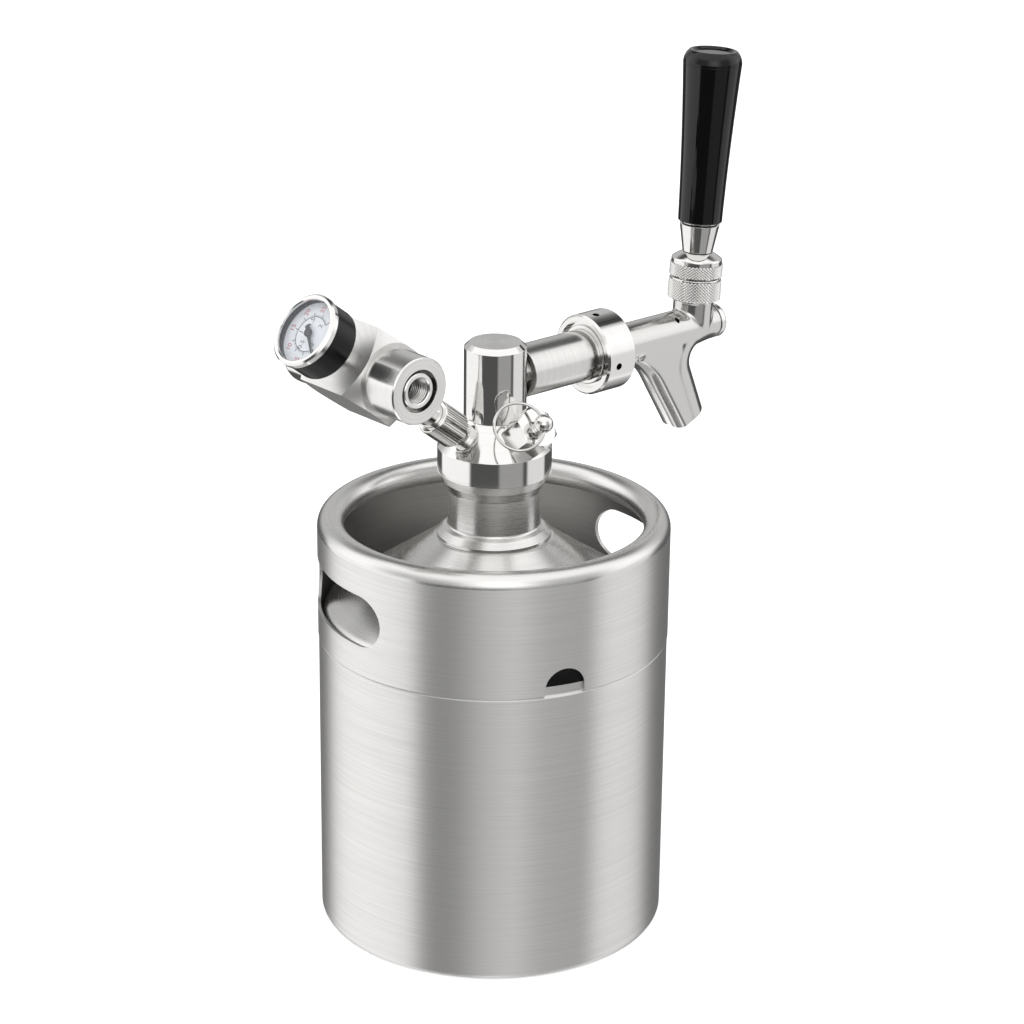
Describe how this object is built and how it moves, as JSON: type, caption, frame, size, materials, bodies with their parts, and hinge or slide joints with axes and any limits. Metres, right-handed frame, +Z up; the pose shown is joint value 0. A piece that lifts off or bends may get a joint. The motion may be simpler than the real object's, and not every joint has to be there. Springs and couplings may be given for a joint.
{
  "type": "mini keg beer dispenser",
  "caption": "Stainless mini keg with a screw-on head that carries a lever tap, a gas regulator with its gauge, and a pull-ring relief valve.",
  "frame": {"origin": "centre of the keg's foot, on the surface it stands on", "axes": "+Z up the keg's axis, +X along the tap's shank towards the spout, the gas line towards -X, the relief valve towards -Y"},
  "size_m": [0.2772, 0.1706, 0.4159],
  "materials": {
    "brushed_stainless": "fine horizontal brushing",
    "polished_stainless": "mirror polished",
    "satin_stainless": "satin casting with polished edges",
    "knurled_stainless": "polished, knurled",
    "black_gloss": "gloss black",
    "black_case": "black enamel",
    "dial_white": "printed white dial",
    "clear_glass": "clear",
    "needle_black": "matt black",
    "black_rubber": "moulded",
    "white_nylon": "moulded",
    "plain_brass": "turned",
    "spring_steel": "drawn wire"
  },
  "bodies": {
    "keg": {"keg_shell": "brushed_stainless", "chime": "brushed_stainless", "keg_neck": "polished_stainless"},
    "gasket": {"neck_gasket": "black_rubber"},
    "head": {"cap_body": "polished_stainless", "tap_column": "polished_stainless", "dip_tube": "polished_stainless", "dip_tube_seal": "black_rubber", "dip_tube_nut": "polished_stainless", "shank": "polished_stainless", "shank_seal": "black_rubber", "nut_washer": "polished_stainless", "faucet_body": "satin_stainless", "nose_plug": "polished_stainless", "ball_cup": "white_nylon", "friction_ring": "white_nylon", "bonnet_cap": "knurled_stainless", "gas_post": "polished_stainless", "gas_check_spring": "spring_steel", "valve_body": "polished_stainless", "valve_spring": "spring_steel"},
    "coupling_nut": {"collar_nut": "polished_stainless"},
    "lock_ring": {"lock_ring": "knurled_stainless"},
    "lever": {"lever": "polished_stainless", "handle_insert": "plain_brass", "handle": "black_gloss", "handle_cap": "black_gloss"},
    "plunger": {"plunger": "polished_stainless", "plunger_seal": "black_rubber", "plunger_oring": "black_rubber"},
    "check_ball": {"gas_check_ball": "polished_stainless"},
    "hand_nut": {"gas_sleeve": "knurled_stainless"},
    "regulator": {"regulator_stem": "polished_stainless", "regulator_block": "polished_stainless", "inlet_body": "polished_stainless", "inlet_insert": "polished_stainless", "piercing_pin": "polished_stainless", "inlet_seal": "black_rubber", "regulator_spring": "spring_steel", "regulator_bonnet": "polished_stainless", "gauge_stem": "polished_stainless", "gauge_case": "black_case", "gauge_bezel": "polished_stainless", "gauge_lens": "clear_glass", "gauge_dial": "dial_white"},
    "piston": {"regulator_piston": "plain_brass"},
    "spring_seat": {"spring_seat": "plain_brass"},
    "knob": {"pressure_knob": "polished_stainless", "adjusting_screw": "polished_stainless"},
    "needle": {"gauge_needle": "needle_black"},
    "relief_stem": {"valve_stem": "polished_stainless", "valve_disc": "black_rubber"},
    "pull_ring": {"pull_ring": "polished_stainless"}
  },
  "joints": [
    {"name": "head_lift", "type": "slide", "parent": "keg", "child": "gasket", "axis": [0, 0, 1], "range_m": [0, 0.00901]},
    {"name": "head_turn", "type": "hinge", "parent": "gasket", "child": "head", "pos_m": [0, 0, 0.24053], "axis": [0, 0, 1], "range_deg": [0, 1080]},
    {"name": "coupling_nut_turn", "type": "hinge", "parent": "head", "child": "coupling_nut", "pos_m": [0.0646, 0, 0.27673], "axis": [1, 0, 0], "continuous": true},
    {"name": "lock_ring_turn", "type": "hinge", "parent": "head", "child": "lock_ring", "pos_m": [0.13106, 0, 0.29669], "axis": [0.0656, 0, 0.9978], "continuous": true},
    {"name": "lever_tilt", "type": "hinge", "parent": "head", "child": "lever", "pos_m": [0.13106, 0, 0.29669], "axis": [0, 1, 0], "range_deg": [0, 18]},
    {"name": "plunger_slide", "type": "slide", "parent": "head", "child": "plunger", "axis": [-1, 0, 0], "range_m": [0, 0.0062]},
    {"name": "check_ball_lift", "type": "slide", "parent": "head", "child": "check_ball", "axis": [0.7934, 0, -0.6088], "range_m": [0, 0.001], "stiffness_N_per_m": 60, "springref_m": -0.003, "deforming": ["gas_check_spring"]},
    {"name": "hand_nut_turn", "type": "hinge", "parent": "head", "child": "hand_nut", "pos_m": [-0.0319, 0, 0.26096], "axis": [-0.7934, 0, 0.6088], "continuous": true},
    {"name": "regulator_swivel", "type": "hinge", "parent": "head", "child": "regulator", "pos_m": [-0.03587, 0, 0.26401], "axis": [-0.7934, 0, 0.6088], "continuous": true},
    {"name": "piston_slide", "type": "slide", "parent": "regulator", "child": "piston", "axis": [0, 1, 0], "range_m": [0, 0.001], "stiffness_N_per_m": 3000, "springref_m": -0.003},
    {"name": "knob_turn", "type": "hinge", "parent": "regulator", "child": "knob", "pos_m": [-0.0799, 0, 0.29779], "axis": [0, -1, 0], "range_deg": [0, 1080]},
    {"name": "spring_seat_slide", "type": "slide", "parent": "regulator", "child": "spring_seat", "axis": [0, -1, 0], "range_m": [0, 0.00301], "deforming": ["regulator_spring"]},
    {"name": "needle_turn", "type": "hinge", "parent": "regulator", "child": "needle", "pos_m": [-0.11044, 0, 0.32123], "axis": [0.7934, 0, -0.6088], "range_deg": [0, 270], "stiffness_Nm_per_rad": 0.0001, "springref_deg": -17.19},
    {"name": "relief_lift", "type": "slide", "parent": "head", "child": "relief_stem", "axis": [0, -0.7934, 0.6088], "range_m": [0, 0.0025], "stiffness_N_per_m": 1500, "springref_m": -0.003, "deforming": ["valve_spring"]},
    {"name": "ring_swing", "type": "hinge", "parent": "relief_stem", "child": "pull_ring", "pos_m": [0, -0.03484, 0.26322], "axis": [0.2538, 0.5888, 0.7674], "range_deg": [0, 180]}
  ],
  "couplings": [
    {"joint": "head_lift", "follows": "head_turn", "m_per_rad": 0.00047746},
    {"joint": "plunger_slide", "follows": "lever_tilt", "m_per_rad": 0.019426},
    {"joint": "spring_seat_slide", "follows": "knob_turn", "m_per_rad": 0.00015915}
  ]
}
